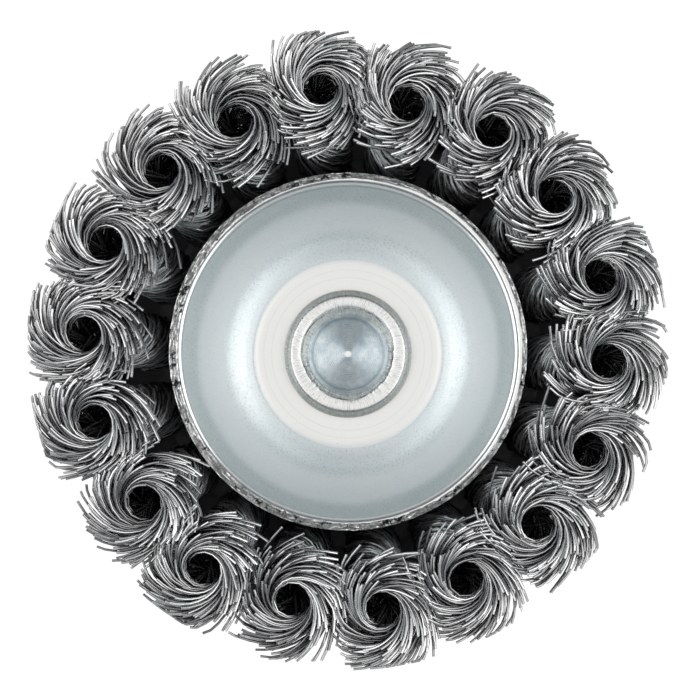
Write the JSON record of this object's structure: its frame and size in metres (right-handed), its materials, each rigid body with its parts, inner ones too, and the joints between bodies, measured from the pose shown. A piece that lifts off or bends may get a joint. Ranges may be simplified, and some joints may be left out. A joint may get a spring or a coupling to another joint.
{
  "type": "wire cup brush",
  "caption": "Twist-knot wire cup brush: pressed cup and inner dish on a threaded nut, with a ring of flared twisted steel wire knots.",
  "frame": {"origin": "centre of the nut's bottom face, at the mouth of the spindle thread", "axes": "+Z along the brush axis towards the wire tips, +X level"},
  "size_m": [0.1006, 0.0998, 0.062],
  "materials": {
    "nut_steel": "turned bright steel",
    "zinc_plate": "satin blue-white zinc plating",
    "plain_steel": "pressed steel, lightly oiled",
    "knot_wire": "drawn steel wire, bright at the cut ends"
  },
  "bodies": {
    "root": {"arbor_nut": "nut_steel", "cup": "zinc_plate", "clamp_dish": "zinc_plate", "knot_plate": "plain_steel", "wire_knot_01": "knot_wire", "wire_knot_02": "knot_wire", "wire_knot_03": "knot_wire", "wire_knot_04": "knot_wire", "wire_knot_05": "knot_wire", "wire_knot_06": "knot_wire", "wire_knot_07": "knot_wire", "wire_knot_08": "knot_wire", "wire_knot_09": "knot_wire", "wire_knot_10": "knot_wire", "wire_knot_11": "knot_wire", "wire_knot_12": "knot_wire", "wire_knot_13": "knot_wire", "wire_knot_14": "knot_wire", "wire_knot_15": "knot_wire", "wire_knot_16": "knot_wire", "wire_knot_17": "knot_wire", "wire_knot_18": "knot_wire"}
  },
  "joints": []
}
